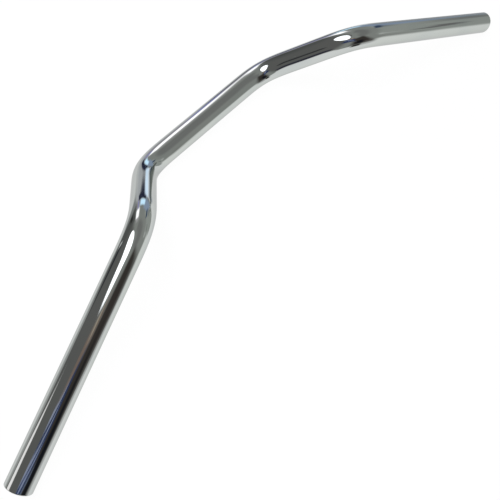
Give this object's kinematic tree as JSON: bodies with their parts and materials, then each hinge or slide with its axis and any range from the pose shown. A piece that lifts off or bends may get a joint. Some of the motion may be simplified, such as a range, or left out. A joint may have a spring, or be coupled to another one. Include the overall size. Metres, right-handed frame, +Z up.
{
  "type": "motorcycle handlebar",
  "caption": "Low-rise motorcycle handlebar bent from plain round chrome-plated tube, with a straight clamp section, short risers, swept-back grip sections and open ends.",
  "frame": {"origin": "middle of the clamp section, on the axis of the tube", "axes": "+X along the clamp section to the rider's right; +Z up with the bar lying on a flat surface, which the underside of the clamp section and both grip ends touch; the grips point towards -Y. On a motorcycle the bar is turned about X in its clamps: turned by -44.6 degrees about X, its risers stand upright and its grips are level to within 2 degrees"},
  "size_m": [0.6724, 0.1482, 0.0765],
  "materials": {
    "chrome": "bright chrome plating on polished steel tube, bare dull steel inside the bore"
  },
  "bodies": {
    "root": {"handlebar_tube": "chrome"}
  },
  "joints": []
}
